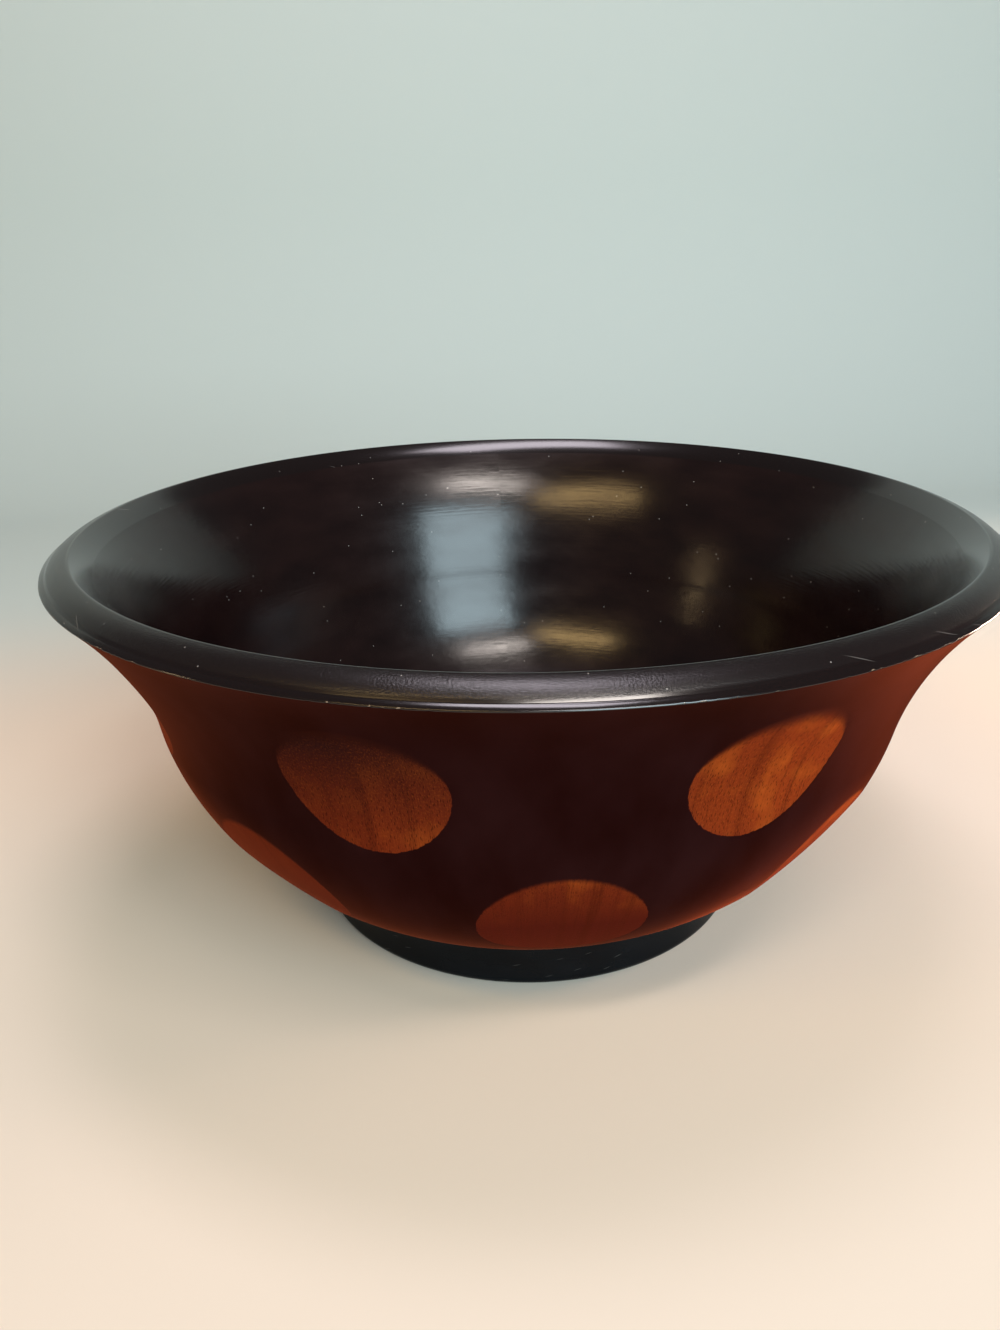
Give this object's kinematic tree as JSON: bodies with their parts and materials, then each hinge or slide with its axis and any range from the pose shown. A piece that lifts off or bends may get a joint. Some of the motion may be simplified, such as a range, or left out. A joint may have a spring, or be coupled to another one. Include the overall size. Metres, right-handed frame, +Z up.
{
  "type": "wooden bowl",
  "caption": "Footed wooden bowl with a flared ogee wall of glued staves, a rolled dark lip, a black foot ring and two staggered rows of round facets cut through the lacquer.",
  "frame": {"origin": "where the bowl's axis meets the surface it stands on", "axes": "+Z up along the bowl's axis; -Y through the middle of a lower facet"},
  "size_m": [0.33, 0.33, 0.1453],
  "materials": {
    "stave": "dark brown gloss lacquer, cut through to reddish brown wood in the facets",
    "floor": "brown-black gloss lacquer",
    "foot": "black gloss lacquer",
    "lip": "brown-black gloss lacquer, chipped to pale wood along its lower edge"
  },
  "bodies": {
    "root": {"stave_01": "stave", "stave_02": "stave", "stave_03": "stave", "stave_04": "stave", "stave_05": "stave", "stave_06": "stave", "stave_07": "stave", "stave_08": "stave", "stave_09": "stave", "stave_10": "stave", "stave_11": "stave", "stave_12": "stave", "stave_13": "stave", "stave_14": "stave", "stave_15": "stave", "stave_16": "stave", "bottom_disc": "floor", "foot_ring": "foot", "rim_ring": "lip"}
  },
  "joints": []
}
